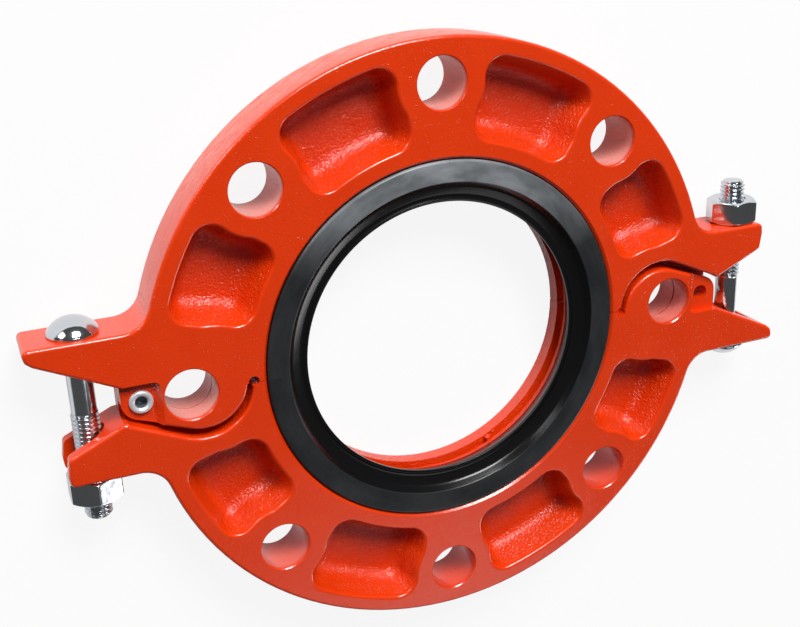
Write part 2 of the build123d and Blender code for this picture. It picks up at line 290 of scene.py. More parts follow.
def value_range(tree, value, low, high, new_low, new_high):
    """Straight line from one range to another, held at its ends. Returns the value socket."""
    node = add_node(tree, "ShaderNodeMapRange", in_From_Min=low, in_From_Max=high, in_To_Min=new_low,
                    in_To_Max=new_high)
    tree.links.new(value, node.inputs["Value"])
    return node.outputs["Result"]


def mixed_colour(tree, share, under, over):
    """Colour socket covered by a plain colour where the share is 1. Returns the colour socket."""
    node = add_node(tree, "ShaderNodeMix", data_type="RGBA")
    tree.links.new(share, node.inputs[0])
    tree.links.new(under, node.inputs[6])
    node.inputs[7].default_value = (*over, 1)
    return node.outputs[2]


def cloudy_roughness(tree, cloud, roughness):
    """Roughness that swings round its setting with the skin's cloud. Returns the value socket."""
    return value_range(tree, cloud, 0.3, 0.7, roughness - 0.04, roughness + 0.06)


def bend_normal(tree, shader, height, distance=1.0):
    """Bump of the shader's normal. The height times the distance is in metres."""
    bump = add_node(tree, "ShaderNodeBump", in_Strength=1.0, in_Distance=distance)
    tree.links.new(height, bump.inputs["Height"])
    tree.links.new(bump.outputs["Normal"], shader.inputs["Normal"])


def skin_node(tree, group, place, **values):
    """The cast skin group in a material, with its own values."""
    node = add_node(tree, "ShaderNodeGroup", node_tree=group, **values)
    tree.links.new(place, node.inputs["Vector"])
    return node


def about_axis(tree, place, centre):
    """Position about an upright axis. Returns the sockets of x and y from it, the distance and the height."""
    parts = add_node(tree, "ShaderNodeSeparateXYZ")
    tree.links.new(place, parts.inputs["Vector"])
    x, y = (math_node(tree, "SUBTRACT", parts.outputs[i], centre[i]) for i in (0, 1))
    squares = chain(tree, "ADD", chain(tree, "MULTIPLY", x, x), chain(tree, "MULTIPLY", y, y))
    return x, y, math_node(tree, "SQRT", squares), parts.outputs["Z"]


def round_the_ring(tree, place, length_share):
    """Coordinates that follow the ring: length along it, shortened by a share, then radius and height.

    The length is the angle about the bore times the rim's radius. Noise read at them is drawn out along
    the ring. Returns the sockets of the vector, the radius, the height and the turn.
    """
    x, y, radius, z = about_axis(tree, place, (0.0, 0.0))
    turn = math_node(tree, "ARCTAN2", y, x)
    ring = add_node(tree, "ShaderNodeCombineXYZ")
    tree.links.new(math_node(tree, "MULTIPLY", turn, RING_HIGH[1] * length_share), ring.inputs["X"])
    tree.links.new(radius, ring.inputs["Y"])
    tree.links.new(z, ring.inputs["Z"])
    return ring.outputs["Vector"], radius, z, turn


def toward_share(tree, place, radius, middle):
    """Cosine of the angle between a point's direction from the bore's axis and the middle direction."""
    toward = add_node(tree, "ShaderNodeVectorMath", operation="DOT_PRODUCT")
    tree.links.new(place, toward.inputs[0])
    toward.inputs[1].default_value = (math.cos(middle), math.sin(middle), 0)
    return math_node(tree, "DIVIDE", toward.outputs["Value"], radius)


def to_nearest_hole(tree, radius, turn):
    """Distance to the axis of the nearest bolt hole, by the cosine law.

    The holes stand every eighth of a turn on their circle, so the angle to the nearest is a zigzag of the
    turn.
    """
    angle = math_node(tree, "PINGPONG", turn, math.pi / 8)
    across = chain(tree, "MULTIPLY", radius, math_node(tree, "COSINE", angle), 2 * HOLE_CIRCLE)
    squares = math_node(tree, "ADD", math_node(tree, "MULTIPLY", radius, radius), HOLE_CIRCLE**2)
    return math_node(tree, "SQRT", math_node(tree, "SUBTRACT", squares, across))


def casting_zones(tree, radius, z, turn):
    """Zones of the casting, each a value from 0 to 1: outer wall, bolt holes, sandy hollows.

    The outer wall lies at the rim's radius behind the rounded front edge, away from the lugs. The sandy
    hollows are all that lies below the front face within the rim, apart from the holes.
    """
    front, rim = RING_HIGH[2], RING_HIGH[1]
    # Each range is the way over which a zone begins or ends.
    aside = math_node(tree, "ABSOLUTE", chain(tree, "MULTIPLY", radius, math_node(tree, "SINE", turn)))
    wall = chain(
        tree, "MULTIPLY",
        value_range(tree, radius, rim - 1.2 * MM, rim - 0.3 * MM, 0, 1),
        value_range(tree, radius, rim + 0.25 * MM, rim + 0.5 * MM, 1, 0),
        value_range(tree, z, front - 1.6 * MM, front - 0.3 * MM, 1, 0),
        value_range(tree, aside, LUG_ROOT, LUG_ROOT + 4 * MM, 0, 1),
    )
    below = value_range(tree, z, front - 2.4 * MM, front - 0.8 * MM, 1, 0)
    bored = value_range(tree, to_nearest_hole(tree, radius, turn), HOLE_RADIUS + 0.2 * MM,
                        HOLE_RADIUS + 0.6 * MM, 1, 0)
    within = value_range(tree, radius, rim - 3 * MM, rim - 1.5 * MM, 1, 0)
    sandy = chain(tree, "MULTIPLY", math_node(tree, "SUBTRACT", below, bored, clamp=True), within)
    return wall, chain(tree, "MULTIPLY", bored, below), sandy


def painted_sheen_share(tree, settings, streaks, place, radius, z, wall, bored):
    """How far a painted sheen covers the paint: in streaks on the outer wall, evenly in the bolt holes.

    The sheen is a pale colour that stands in for the glossy enamel's reflection of the white floor.
    The streaks' height sets the share on the wall. It falls from the parting line to the front edge, and
    off the arc round the palest direction. In the holes it falls with the cosine from that direction.
    """
    swing = 0.16 * settings.streak_depth
    streaky = value_range(tree, streaks, -swing, swing, 0.15, 1.85)
    toward_back = value_range(tree, z, settings.parting_height - 3 * MM, RING_HIGH[2], 1.0, 0.2)
    facing = toward_share(tree, place, radius, settings.sheen_middle)
    on_arc = value_range(tree, facing, 0.70, 0.82, 0.4, 1.0)
    drawn = chain(tree, "MULTIPLY", streaky, toward_back, settings.wall_sheen, on_arc)
    even = value_range(tree, facing, -0.9, 0.2, 0.06, settings.hole_sheen)
    return math_node(tree, "MAXIMUM", math_node(tree, "MULTIPLY", wall, drawn),
                     math_node(tree, "MULTIPLY", bored, even))


def painted_casting(settings, group):
    """Glossy orange-red enamel: waves on the faces, coarse sand in the pockets, streaks on the outer wall."""
    material, tree, shader, place = new_material("orange_enamel")
    ring, radius, z, turn = round_the_ring(tree, place, settings.streak_share)
    wall, bored, sandy = casting_zones(tree, radius, z, turn)

    # The sand is a coarser kind of the faces' skin, and the streaks are one drawn out along the ring.
    face = skin_node(tree, group, place, in_Wave_Size=settings.wave_size, in_Wave_Depth=settings.wave_depth,
                     in_Grit_Size=settings.grit_size, in_Grit_Depth=settings.grit_depth,
                     in_Speck_Size=settings.speck_size, in_Speck_Depth=settings.speck_depth)
    sand = skin_node(tree, group, place, in_Wave_Size=1.3 * settings.wave_size,
                     in_Wave_Depth=1.5 * settings.wave_depth, in_Grit_Size=1.05 * settings.grit_size,
                     in_Grit_Depth=settings.sand_depth, in_Speck_Size=0.9 * settings.speck_size,
                     in_Speck_Depth=2.0 * settings.speck_depth)
    streaks = skin_node(tree, group, ring, in_Wave_Size=settings.streak_size,
                        in_Wave_Depth=settings.streak_depth, in_Grit_Size=0.5 * MM,
                        in_Grit_Depth=0.4 * settings.streak_depth, in_Speck_Size=0.7 * MM,
                        in_Speck_Depth=-0.6 * settings.streak_depth).outputs["Height"]
    parting_half, parting_rise = 0.35 * MM, 0.09 * MM
    off = math_node(tree, "ABSOLUTE", math_node(tree, "SUBTRACT", z, settings.parting_height))
    parting = value_range(tree, off, 0, parting_half, parting_rise, 0)
    coarse = math_node(tree, "MULTIPLY", sandy, sand.outputs["Height"])
    drawn = math_node(tree, "MULTIPLY", wall, math_node(tree, "ADD", streaks, parting))
    bend_normal(tree, shader, chain(tree, "ADD", face.outputs["Height"], coarse, drawn))

    cloud = face.outputs["Cloud"]
    colour = tuple(settings.colour)
    deep = tuple(part * share for part, share in zip(colour, (0.90, 0.80, 0.80)))
    paint = linear_colour(tree, cloud, deep, colour)
    # Painted sheen: a pale colour on the outer wall and in the bolt holes stands in for the enamel's
    # reflection.
    painted_sheen = painted_sheen_share(tree, settings, streaks, place, radius, z, wall, bored)
    paint_with_sheen = mixed_colour(tree, painted_sheen, paint, tuple(settings.painted_sheen_colour))
    tree.links.new(paint_with_sheen, shader.inputs["Base Color"])
    rougher_wall, smoother_sand = 0.10, 0.06
    rough = math_node(tree, "ADD", cloudy_roughness(tree, cloud, settings.roughness),
                      math_node(tree, "MULTIPLY", wall, rougher_wall))
    rough = math_node(tree, "SUBTRACT", rough, math_node(tree, "MULTIPLY", sandy, smoother_sand))
    tree.links.new(rough, shader.inputs["Roughness"])
    shader.inputs["IOR"].default_value = settings.ior
    shader.inputs["Coat Weight"].default_value = settings.coat
    shader.inputs["Coat Roughness"].default_value = settings.coat_roughness
    return material


def black_rubber(settings):
    """Moulded rubber: nearly black, with a fine grain and a painted grey sheen on the face band's upper arc.

    The painted sheen stands in for the light that the band reflects on its upper arc. It is full where the
    direction from the bore's axis points to its middle, and fades to a faint rest with the cosine of the
    angle from there. Clouds drawn out along the ring break it up.
    """
    material, tree, shader, place = new_material("moulded_rubber")
    ring, radius, z, _ = round_the_ring(tree, place, settings.cloud_share)
    clouds_per_metre, grains_per_metre, grain_depth = 110.0, 1600.0, 0.012 * MM
    cloud = add_node(tree, "ShaderNodeTexNoise", in_Scale=clouds_per_metre, in_Detail=3.0, in_Roughness=0.6)
    tree.links.new(ring, cloud.inputs["Vector"])
    facing = toward_share(tree, place, radius, settings.band_sheen_middle)
    arc = value_range(tree, facing, 0.5, 1.0, settings.band_sheen_rest, 1)
    band = value_range(tree, z, GASKET_HIGH[2] - 1.3 * MM, GASKET_HIGH[2] - 1.0 * MM, 0, 1)
    cloudy = value_range(tree, cloud.outputs["Fac"], 0.35, 0.65, 0.5, 1.0)
    # Painted sheen: grey on the band's upper arc, standing in for the light that the band reflects there.
    band_sheen = chain(tree, "MULTIPLY", arc, band, cloudy)
    colour = linear_colour(tree, band_sheen, tuple(settings.colour), tuple(settings.band_sheen))
    tree.links.new(colour, shader.inputs["Base Color"])
    rough = value_range(tree, band_sheen, 0, 1, settings.roughness, settings.roughness + 0.12)
    tree.links.new(rough, shader.inputs["Roughness"])
    fine = add_node(tree, "ShaderNodeTexNoise", in_Scale=grains_per_metre, in_Detail=2.0)
    tree.links.new(place, fine.inputs["Vector"])
    bend_normal(tree, shader, fine.outputs["Fac"], grain_depth)
    shader.inputs["IOR"].default_value = settings.ior
    return material


def hollow_shade_share(tree, place, centre, radius, top):
    """1 in a round hollow about an upright axis, below its top, and 0 outside. Returns the value socket."""
    _, _, distance, z = about_axis(tree, place, centre)
    # The share marks where painted shade darkens the hollow.
    return math_node(tree, "MULTIPLY", value_range(tree, distance, radius, radius + 0.15 * MM, 1, 0),
                     value_range(tree, z, top - 0.7 * MM, top, 1, 0))


def zinc_plate(name, settings, colour, roughness, group, metallic=1.0, hollow=None):
    """Bright zinc on steel: a mirror broken by fine waves of the plating and a faint cloud.

    hollow gives the centre, radius and top of a rivet's hollow, which gets a dark painted shade inside.
    """
    material, tree, shader, place = new_material(name)
    skin = skin_node(tree, group, place, in_Wave_Size=settings.plating_size,
                     in_Wave_Depth=settings.plating_depth, in_Grit_Size=0.5 * MM, in_Grit_Depth=0.0015 * MM)
    bend_normal(tree, shader, skin.outputs["Height"])
    dull = tuple(0.82 * part for part in colour)
    plate = linear_colour(tree, skin.outputs["Cloud"], dull, tuple(colour))
    if hollow:
        # Painted shade: dark colour inside the rivet's hollow.
        plate = mixed_colour(tree, hollow_shade_share(tree, place, *hollow), plate, tuple(settings.hollow_shade_colour))
    tree.links.new(plate, shader.inputs["Base Color"])
    tree.links.new(cloudy_roughness(tree, skin.outputs["Cloud"], roughness), shader.inputs["Roughness"])
    shader.inputs["Metallic"].default_value = metallic
    return material


def give(piece, material, body=None, node=None):
    """Put a material on a piece, attach it to its body's empty and hide the CAD node that it stands for."""
    piece.data.materials.clear()
    piece.data.materials.append(material)
    if body:
        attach(piece, body)
        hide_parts(node)


# Settings


def length_setting(name, description, default):
    """Setting in metres."""
    return FloatProperty(name=name, description=description, unit="LENGTH", precision=6, default=default)


def share_setting(name, description, default):
    """Setting from 0 to 1."""
    return FloatProperty(name=name, description=description, subtype="FACTOR", min=0, max=1, default=default)


def angle_setting(name, description, degrees):
    """Setting of an angle, whose default is given in degrees."""
    return FloatProperty(name=name, description=description, subtype="ANGLE", default=math.radians(degrees))


def colour_setting(name, description, default):
    """Setting of a colour by its shares of red, green and blue."""
    return FloatVectorProperty(name=name, description=description, subtype="COLOR", size=3, min=0, max=1,
                               default=default)


class CastingSettings(bpy.types.PropertyGroup):
    """Paint of the two castings."""

    colour: colour_setting("Paint", "Colour of the enamel", (0.82, 0.046, 0.0012))
    roughness: share_setting("Roughness", "Roughness of the enamel", 0.21)
    wave_size: length_setting("Wave size", "Width of the waves in the paint", 0.0026)
    wave_depth: length_setting("Wave depth", "Depth of the waves in the paint", 0.00005)
    grit_size: length_setting("Grit size", "Width of the sand marks", 0.0008)
    grit_depth: length_setting("Grit depth", "Depth of the sand marks on the faces", 0.00006)
    sand_depth: length_setting("Sand depth", "Depth of the sand marks in the pockets", 0.00058)
    speck_size: length_setting("Speck size", "Distance between single specks", 0.0007)
    speck_depth: length_setting("Speck depth", "Height of single specks", 0.000045)
    streak_depth: length_setting("Streak depth", "Depth of the streaks on the outer wall", 0.00022)
    streak_size: length_setting("Streak size", "Width of the streaks on the outer wall", 0.00075)
    streak_share: share_setting("Streak share", "Width of a streak as a share of its length", 0.13)
    parting_height: length_setting("Parting height", "Height of the mould's parting line", 0.015)
    # The pale holes, pale middle, colour and pale wall settings set the painted sheen.
    hole_sheen: share_setting("Pale holes", "Share of chalky paint in the bolt holes", 0.72)
    sheen_middle: angle_setting("Pale middle", "Direction of the palest paint from the axis", 105)
    painted_sheen_colour: colour_setting("Painted_sheen", "Colour of the chalky paint", (0.86, 0.40, 0.34))
    ior: FloatProperty(name="Refraction", description="Index of refraction of the enamel", default=1.62)
    coat: share_setting("Coat", "Share of the clear coat", 0.12)
    coat_roughness: share_setting("Coat roughness", "Roughness of the clear coat", 0.2)
    wall_sheen: share_setting("Pale wall", "Share of chalky paint on the outer wall", 0.3)


class GasketSettings(bpy.types.PropertyGroup):
    """Section and finish of the rubber ring."""

    band: length_setting("Band", "Width of the flat face band", 0.0082)
    lip_reach: length_setting("Lip reach", "From the outside to the tip of the lip", 0.0159)
    lip_drop: length_setting("Lip drop", "From the face down to the lip", 0.0047)
    heel_reach: length_setting("Heel reach", "From the outside to the heel", 0.0126)
    columns: IntProperty(name="Columns", description="Faces round the ring", default=256)
    colour: colour_setting("Rubber", "Colour of the rubber", (0.0045, 0.0045, 0.0052))
    # Colour, middle and rest of the painted sheen on the band's upper arc.
    band_sheen: colour_setting("Band_sheen", "Colour of the greyed band", (0.31, 0.33, 0.35))
    band_sheen_middle: angle_setting("Bloom middle", "Direction of the strongest bloom", 88)
    band_sheen_rest: share_setting("Bloom rest", "Share of the bloom on the rest of the band", 0.08)
    cloud_share: share_setting("Cloud share", "Width of a cloud as a share of its length", 0.25)
    ior: FloatProperty(name="Refraction", description="Index of refraction of the rubber", default=1.42)
    roughness: share_setting("Roughness", "Roughness of the rubber", 0.20)


class FastenerSettings(bpy.types.PropertyGroup):
    """Closure bolts, nuts and the hinge rivet."""

    pitch: length_setting("Pitch", "Advance of the thread in one turn", 0.0015875)
    thread_depth: length_setting("Thread depth", "Depth of the thread", 0.00092)
    thread_start: length_setting("Thread start", "From the head seat to the thread", 0.0275)
    thread_radius: length_setting("Thread radius", "Radius over the crests", 0.00475)
    shank_radius: length_setting("Shank radius", "Radius of the plain shank", 0.0043)
    neck_half: length_setting("Neck half width", "Half of the oval neck's long way", 0.0055)
    neck_length: length_setting("Neck length", "Length of the oval neck", 0.0035)
    head_height: length_setting("Head height", "Height of the round head", 0.006)
    nut_flats: length_setting("Across flats", "Width of the nuts across their flats", 0.0175)
    bevel_angle: angle_setting("Nut bevel", "Angle of the turned-off nut corners", 30)
    colour: colour_setting("Zinc", "Colour of the plating", (0.72, 0.76, 0.80))
    roughness: share_setting("Roughness", "Roughness of the plating", 0.14)
    plating_size: length_setting("Plating size", "Width of the waves in the plating", 0.0032)
    plating_depth: length_setting("Plating depth", "Depth of the waves in the plating", 0.000045)
    rivet_colour: colour_setting("Rivet", "Colour of the rivet", (0.92, 0.94, 0.97))
    rivet_roughness: share_setting("Rivet roughness", "Roughness of the rivet", 0.34)
    rivet_metallic: share_setting("Rivet metal", "Metallic share of the rivet", 0.5)
    # Colour of the painted shade in the rivet's hollow.
    hollow_shade_colour: colour_setting("Hollow", "Colour of the painted_shade in the rivet's hollow", (0.20, 0.22, 0.26))
    nut_turn: angle_setting("Nut turn", "Turn of the right nut about its bolt", -23)


class StageSettings(bpy.types.PropertyGroup):
    """Camera, floor and lamps."""

    camera_place: FloatVectorProperty(name="Camera", description="Place of the camera",
                                      subtype="TRANSLATION", unit="LENGTH", size=3,
                                      default=(-0.15988, 0.16366, 0.38212))
    camera_turn: FloatVectorProperty(name="Camera turn", description="Turn of the camera about X, Y and Z",
                                     subtype="EULER", size=3,
                                     default=tuple(math.radians(a) for a in (-20.2177, -22.3715, -2.3081)))
    lens: FloatProperty(name="Lens", description="Focal length on a 36 mm wide sensor, in mm", default=52.14)
    floor_radius: length_setting("Floor radius", "Radius of the floor", 3.0)
    floor_white: share_setting("Floor white", "Share of plain white in the seen floor", 0.9)
    floor_mirrored: share_setting("Floor mirrored", "Share of plain white in its reflection", 0.7)
    key_power: FloatProperty(name="Key power", description="Power of the main lamp", default=44.0)
    rim_power: FloatProperty(name="Rim power", description="Power of the low lamp at the upper left",
                             default=5.6)
    low_power: FloatProperty(name="Low power", description="Power of the lamp below the picture", default=0.9)
    side_power: FloatProperty(name="Side power", description="Power of the low lamp at the lower right",
                              default=2.1)
    sky: FloatProperty(name="Sky", description="Strength of the light from all round", default=0.02)
    sky_mirrored: share_setting("Sky mirrored", "Share of white in the sky's reflection", 0.06)


# Operators


class CastingOperator(bpy.types.Operator):
    """Paint both castings with glossy enamel over a cast skin"""

    bl_idname = "flange_adaptor.castings"
    bl_label = "Paint castings"

    def execute(self, context):
        material = painted_casting(context.scene.flange_casting, bpy.data.node_groups["cast_skin"])
        for name in ("upper_housing", "lower_housing"):
            give(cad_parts[name], material)
        return {"FINISHED"}


class GasketOperator(bpy.types.Operator):
    """Make the rubber ring with its band, hollow slope, lip and heel"""

    bl_idname = "flange_adaptor.gasket"
    bl_label = "Make gasket"

    def execute(self, context):
        s = context.scene.flange_gasket
        outside, top, floor = GASKET_HIGH[0], GASKET_HIGH[2], GASKET_LOW[2]
        band = outside - s.band
        lip = outside - s.lip_reach
        heel = outside - s.heel_reach
        lip_z = top - s.lip_drop
        # Radius, height and rounding of each corner: the band, the slope, the lip, the heel and the floor.
        corners = [
            (outside, floor, 0.5 * MM),
            (outside, top, 0.9 * MM),
            (band + 0.2 * MM, top - 0.9 * MM, 0.45 * MM),
            (band - 1.7 * MM, top - 3.5 * MM, 2.6 * MM),
            (lip + 2.2 * MM, lip_z - 0.45 * MM, 2.2 * MM),
            (lip + 0.9 * MM, lip_z + 0.25 * MM, 0.35 * MM),
            (lip, lip_z, 0.25 * MM),
            (lip + 0.1 * MM, lip_z - 1.3 * MM, 0.3 * MM),
            (heel, floor + 1.7 * MM, 1.2 * MM),
            (heel + 4.0 * MM, floor, 0.6 * MM),
        ]
        outline = rounded_outline(corners, 7)
        ring = add_surface("gasket_ring", revolved(outline, s.columns, (0.0, 0.0)), True, 50)
        give(ring, black_rubber(s), "lower_half", "gasket")
        return {"FINISHED"}


class RivetOperator(bpy.types.Operator):
    """Make the hinge rivet with its rolled end and its hollow"""

    bl_idname = "flange_adaptor.rivet"
    bl_label = "Make hinge rivet"

    def execute(self, context):
        s = context.scene.flange_fastener
        centre = (RIVET_LOW + RIVET_HIGH) / 2
        base, top = RIVET_LOW[2], RIVET_HIGH[2]
        head = (RIVET_HIGH[0] - RIVET_LOW[0]) / 2
        shank, roll, tip = 3.0 * MM, 4.15 * MM, 0.25 * MM
        head_top, roll_low = base + 1.9 * MM, top - 1.5 * MM
        # Radius, height and rounding of each corner: the head, the shank, the roll and the hollow.
        corners = [
            (tip, base, 0.0),
            (0.70 * head, base, 1.2 * MM),
            (head, base + 0.9 * MM, 0.4 * MM),
            (head, head_top, 0.2 * MM),
            (shank, head_top, 0.1 * MM),
            (shank, roll_low, 0.1 * MM),
            (roll, roll_low, 0.3 * MM),
            (roll - 0.05 * MM, top, 0.85 * MM),
            (2.75 * MM, top - 0.1 * MM, 0.3 * MM),
            (2.5 * MM, top - 0.55 * MM, 0.2 * MM),
            (2.15 * MM, top - 0.75 * MM, 0.2 * MM),
            (2.05 * MM, top - 4.6 * MM, 0.5 * MM),
            (tip, top - 5.0 * MM, 0.0),
        ]
        outline = rounded_outline(corners, 6)
        piece = add_surface("rolled_rivet", revolved(outline, 64, centre[:2]), False, 50)
        # Centre, radius and top of the painted shade in the rivet's hollow.
        hollow = (centre[:2], 2.35 * MM, top - 0.6 * MM)
        material = zinc_plate("rivet_zinc", s, s.rivet_colour, s.rivet_roughness,
                              bpy.data.node_groups["cast_skin"], s.rivet_metallic, hollow)
        give(piece, material, "lower_half", "hinge_rivet")
        return {"FINISHED"}


def bolt_points(s, seat, upward):
    """Round-headed bolt from the top of its head to the end of its thread, as one grid.

    The head is a sphere's cap on a short edge. The neck's section is a slot with round ends, whose
    arcs are centred half the difference of its two widths from the axis, so its radius lies on a flat or
    on an arc. The thread's radius is the crest less the depth times one minus the thread wave, whose
    phase is the height over the pitch plus the angle over a full turn, held under a cone at the end.
    """
    columns, dome_rows, rows_a_turn = 72, 20, 14
    crest_share, root_share = 0.14, 0.20
    edge, chamfer, chamfer_slope = 0.9 * MM, 1.3 * MM, 1.1
    angle = np.linspace(0, 2 * np.pi, columns, endpoint=False)[None]
    head_radius = (BOLT_HIGH[0] - BOLT_LOW[0]) / 2
    length = BOLT_HIGH[1] - BOLT_LOW[1] - s.head_height
    cap = s.head_height - edge
    sphere = (head_radius**2 + cap**2) / (2 * cap)
    lean = np.linspace(0.03, math.asin(0.985 * head_radius / sphere), dome_rows)
    dome = np.stack([sphere * np.sin(lean), s.head_height - sphere * (1 - np.cos(lean))], -1)
    rim = rounded_outline([
        (0.9 * head_radius, 2 * edge, 0.0), (head_radius, edge, 0.45 * MM), (head_radius, 0.0, 0.35 * MM),
        (0.5 * head_radius, 0.0, 0.0),
    ], 5)[5:15]
    head = np.concatenate([dome, rim])
    head_rows = head[:, 0, None] + 0 * angle

    reach = s.neck_half - s.shank_radius
    across = s.shank_radius / np.maximum(np.abs(np.sin(angle)), 1e-6)
    along = reach * np.abs(np.cos(angle)) + np.sqrt(
        np.maximum(s.shank_radius**2 - (reach * np.sin(angle)) ** 2, 0))
    oval = np.where(across * np.abs(np.cos(angle)) < reach, across, along)
    neck_heights = np.array([0.0, -0.15, -2.6, -3.0, -3.3, -3.5]) * s.neck_length / 3.5
    neck_share = np.array([1.04, 1.0, 1.0, 0.9, 0.4, 0.0])[:, None]
    neck = s.shank_radius + neck_share * (oval - s.shank_radius)

    threaded = length - s.thread_start
    rows = int(threaded / s.pitch * rows_a_turn) + 1
    heights = -s.thread_start - np.linspace(0, threaded, rows)[:, None]
    wave = thread_shape(heights / s.pitch + angle / (2 * np.pi), crest_share, root_share)
    thread = s.thread_radius - s.thread_depth * (1 - wave)
    begin = smooth_step((-heights - s.thread_start) / (1.2 * s.pitch))
    thread = s.shank_radius + begin * (thread - s.shank_radius)
    end_radius = s.thread_radius - chamfer
    cone = end_radius + chamfer_slope * (heights + length)
    thread = np.minimum(thread, cone + 0 * angle)
    end = np.array([0.85, 0.4])[:, None] * end_radius + 0 * angle

    radius = np.concatenate([head_rows, neck, thread, end])
    end_heights = np.array([-length, -length])
    height = np.concatenate([head[:, 1], neck_heights, heights[:, 0], end_heights])[:, None] + 0 * angle
    return on_closure_axis(radius, angle + 0 * radius, height, seat, upward)


class BoltOperator(bpy.types.Operator):
    """Make both closure bolts with round heads, oval necks and real threads"""

    bl_idname = "flange_adaptor.bolts"
    bl_label = "Make closure bolts"

    def execute(self, context):
        s = context.scene.flange_fastener
        material = zinc_plate("bright_zinc", s, s.colour, s.roughness, bpy.data.node_groups["cast_skin"])
        x, y, z = (BOLT_LOW + BOLT_HIGH) / 2
        seat = np.array([x, BOLT_HIGH[1] - s.head_height, z])
        for side, upward in (("left", 1), ("right", -1)):
            place = seat * (upward, upward, 1)
            piece = add_surface(side + "_closure_bolt_piece", bolt_points(s, place, upward), False, 40)
            give(piece, material, side + "_closure_bolt", side + "_bolt")
        return {"FINISHED"}


def nut_points(s, seat, upward, turn):
    """Heavy hexagon nut as one grid that closes on itself: bore, face, side, face.

    The hexagon's radius in a direction is its half width over the cosine of the angle from the nearest
    flat, with the corner softened by a sum of high powers. It is held under a cone at each face by the
    logarithm of a sum of powers of e, which rounds the edge between them. The bore has grooves of the
    same pitch as the bolt's thread.
    """
    columns, corner_power, soft = 240, 60, 0.12 * MM
    crest_share, root_share, groove_depth = 0.2, 0.2, 0.5 * MM
    angle = np.linspace(0, 2 * np.pi, columns, endpoint=False)[None]
    flats = s.nut_flats / 2
    height = NUT_HIGH[1] - NUT_LOW[1]
    off = (angle - turn + np.pi / 6) % (np.pi / 3) - np.pi / 6
    beside = np.pi / 3 - np.abs(off)
    sum_of_powers = (np.cos(off) / flats) ** corner_power + (np.cos(beside) / flats) ** corner_power
    hexagon = sum_of_powers ** (-1 / corner_power)
    bore = s.thread_radius + 0.15 * MM
    slope = math.tan(s.bevel_angle)
    edge = 0.955 * flats

    fine = np.concatenate([np.linspace(0, 2.2, 23), np.linspace(2.6, 4.4, 5)]) * MM
    sides = np.concatenate([fine, height - fine[::-1]])[:, None]
    cone = edge + np.minimum(sides, height - sides) / slope
    outside = -np.log(np.exp(-hexagon / soft) + np.exp(-cone / soft)) * soft
    face_share = np.array([0.2, 0.5, 0.9])[:, None]
    face_radius = bore + 0.55 * MM + face_share * (outside[:1] - bore - 0.6 * MM)
    inside = np.linspace(0.35 * MM, height - 0.35 * MM, 60)[:, None]
    wave = thread_shape(inside / s.pitch + angle / (2 * np.pi), crest_share, root_share)
    groove = (bore + groove_depth * (1 - wave))[::-1]
    mouth = bore + groove_depth + 0 * angle

    radius = np.concatenate([mouth, face_radius, outside, face_radius[::-1], mouth, groove])
    heights = np.concatenate([[0.0], np.zeros(3), sides[:, 0], np.full(3, height), [height],
                              inside[::-1, 0]])[:, None] + 0 * angle
    return on_closure_axis(radius, angle + 0 * radius, heights, seat, upward)


class NutOperator(bpy.types.Operator):
    """Make both heavy hexagon nuts"""

    bl_idname = "flange_adaptor.nuts"
    bl_label = "Make nuts"

    def execute(self, context):
        s = context.scene.flange_fastener
        material = bpy.data.materials["bright_zinc"]
        for side, upward, turn in (("left", -1, 0.0), ("right", 1, s.nut_turn)):
            low, high = node_box(side + "_nut")
            seat = (low + high) / 2
            seat[1] = low[1] if upward > 0 else high[1]
            piece = add_surface(side + "_closure_nut_piece", nut_points(s, seat, upward, turn), True, 40)
            give(piece, material, side + "_closure_nut", side + "_nut")
        return {"FINISHED"}


def seen_white(tree, lit, white, shares):
    """The lit shader mixed with plain white, for each named kind of ray by its own share."""
    path = add_node(tree, "ShaderNodeLightPath")
    seen = 0.0
    for ray, share in shares:
        seen = math_node(tree, "MAXIMUM", seen, math_node(tree, "MULTIPLY", path.outputs[ray], share))
    mix = add_node(tree, "ShaderNodeMixShader")
    tree.links.new(seen, mix.inputs["Fac"])
    tree.links.new(lit.outputs[0], mix.inputs[1])
    tree.links.new(white.outputs[0], mix.inputs[2])
    return mix.outputs[0]


def add_lamp(name, place, size, power):
    """Square area lamp that looks at the origin."""
    lamp = bpy.data.lights.new(name, "AREA")
    lamp.size = size
    lamp.energy = power
    lamp_object = bpy.data.objects.new(name, lamp)
    bpy.context.scene.collection.objects.link(lamp_object)
    lamp_object.location = place
    toward = -mathutils.Vector(place)
    lamp_object.rotation_euler = toward.to_track_quat("-Z", "Y").to_euler()


# Name, place and edge length of each lamp, in metres. The stage settings hold the powers.
LAMPS = (
    ("key", (0.18, 1.48, 1.17), 0.8),
    ("rim", (-1.02, 1.02, 0.39), 0.45),
    ("low", (0.38, -0.92, 0.85), 0.5),
    ("side", (0.95, -0.80, 0.33), 0.36),
)


def add_camera(scene, settings):
    """Camera that takes the photo's view."""
    camera = bpy.data.cameras.new("camera")
    camera.lens = settings.lens
    camera.sensor_width = 36.0
    camera.clip_start = 0.01
    camera_object = bpy.data.objects.new("camera", camera)
    camera_object.location = settings.camera_place
    camera_object.rotation_euler = settings.camera_turn
    scene.collection.objects.link(camera_object)
    scene.camera = camera_object


